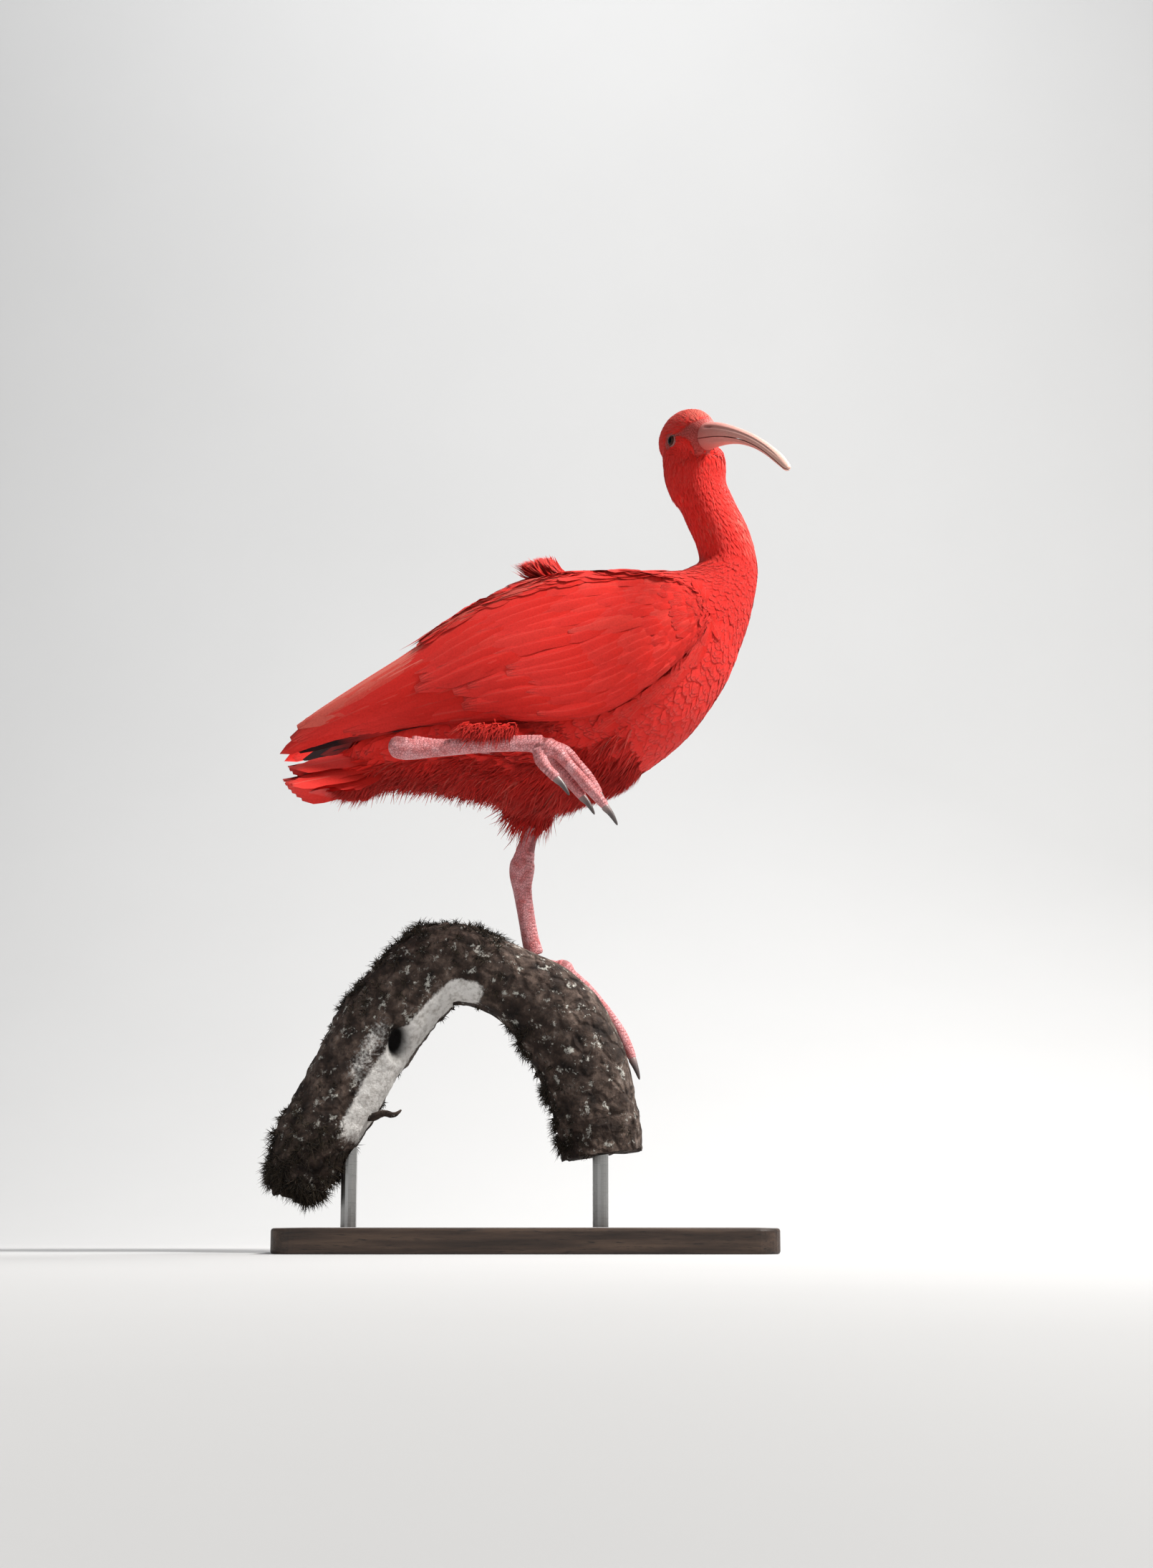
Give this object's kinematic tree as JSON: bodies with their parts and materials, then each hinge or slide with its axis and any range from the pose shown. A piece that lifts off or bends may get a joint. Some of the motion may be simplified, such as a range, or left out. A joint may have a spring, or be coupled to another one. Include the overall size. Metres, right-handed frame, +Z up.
{
  "type": "scarlet ibis model",
  "caption": "Life-size still model of a scarlet ibis standing on one leg on a cut branch, held by a flat base and short rods.",
  "frame": {"origin": "centre of the stand base's underside", "axes": "+Z up, +X the way the bird's breast faces, +Y towards its left side"},
  "size_m": [0.3242, 0.2099, 0.5462],
  "materials": {
    "plumage": "soft scarlet contour feathers",
    "flight_feather": "scarlet wing and tail vanes, outer tips black",
    "bill_horn": "pale salmon horn",
    "eye": "wet dark brown",
    "leg_skin": "pink scaled skin",
    "claw_horn": "grey horn",
    "bark": "rough dark bark with moss and bare weathered wood",
    "stand_wood": "dark satin wood",
    "stand_rod": "brushed"
  },
  "bodies": {
    "root": {"torso": "plumage", "neck_lower": "plumage", "neck_upper": "plumage", "head": "plumage", "bill_upper": "bill_horn", "bill_lower": "bill_horn", "eye_left": "eye", "eye_right": "eye", "tail": "flight_feather", "wing_left": "flight_feather", "wing_right": "flight_feather", "thigh_left": "plumage", "thigh_right": "plumage", "shin_left": "leg_skin", "shin_right": "leg_skin", "tarsus_left": "leg_skin", "tarsus_right": "leg_skin", "foot_left": "leg_skin", "foot_right": "leg_skin", "claw_left_1": "claw_horn", "claw_left_2": "claw_horn", "claw_left_3": "claw_horn", "claw_left_4": "claw_horn", "claw_right_1": "claw_horn", "claw_right_2": "claw_horn", "claw_right_3": "claw_horn", "claw_right_4": "claw_horn", "perch_outer": "bark", "perch_inner": "bark", "stand_base": "stand_wood", "stand_rod_outer": "stand_rod", "stand_rod_inner": "stand_rod"}
  },
  "joints": []
}
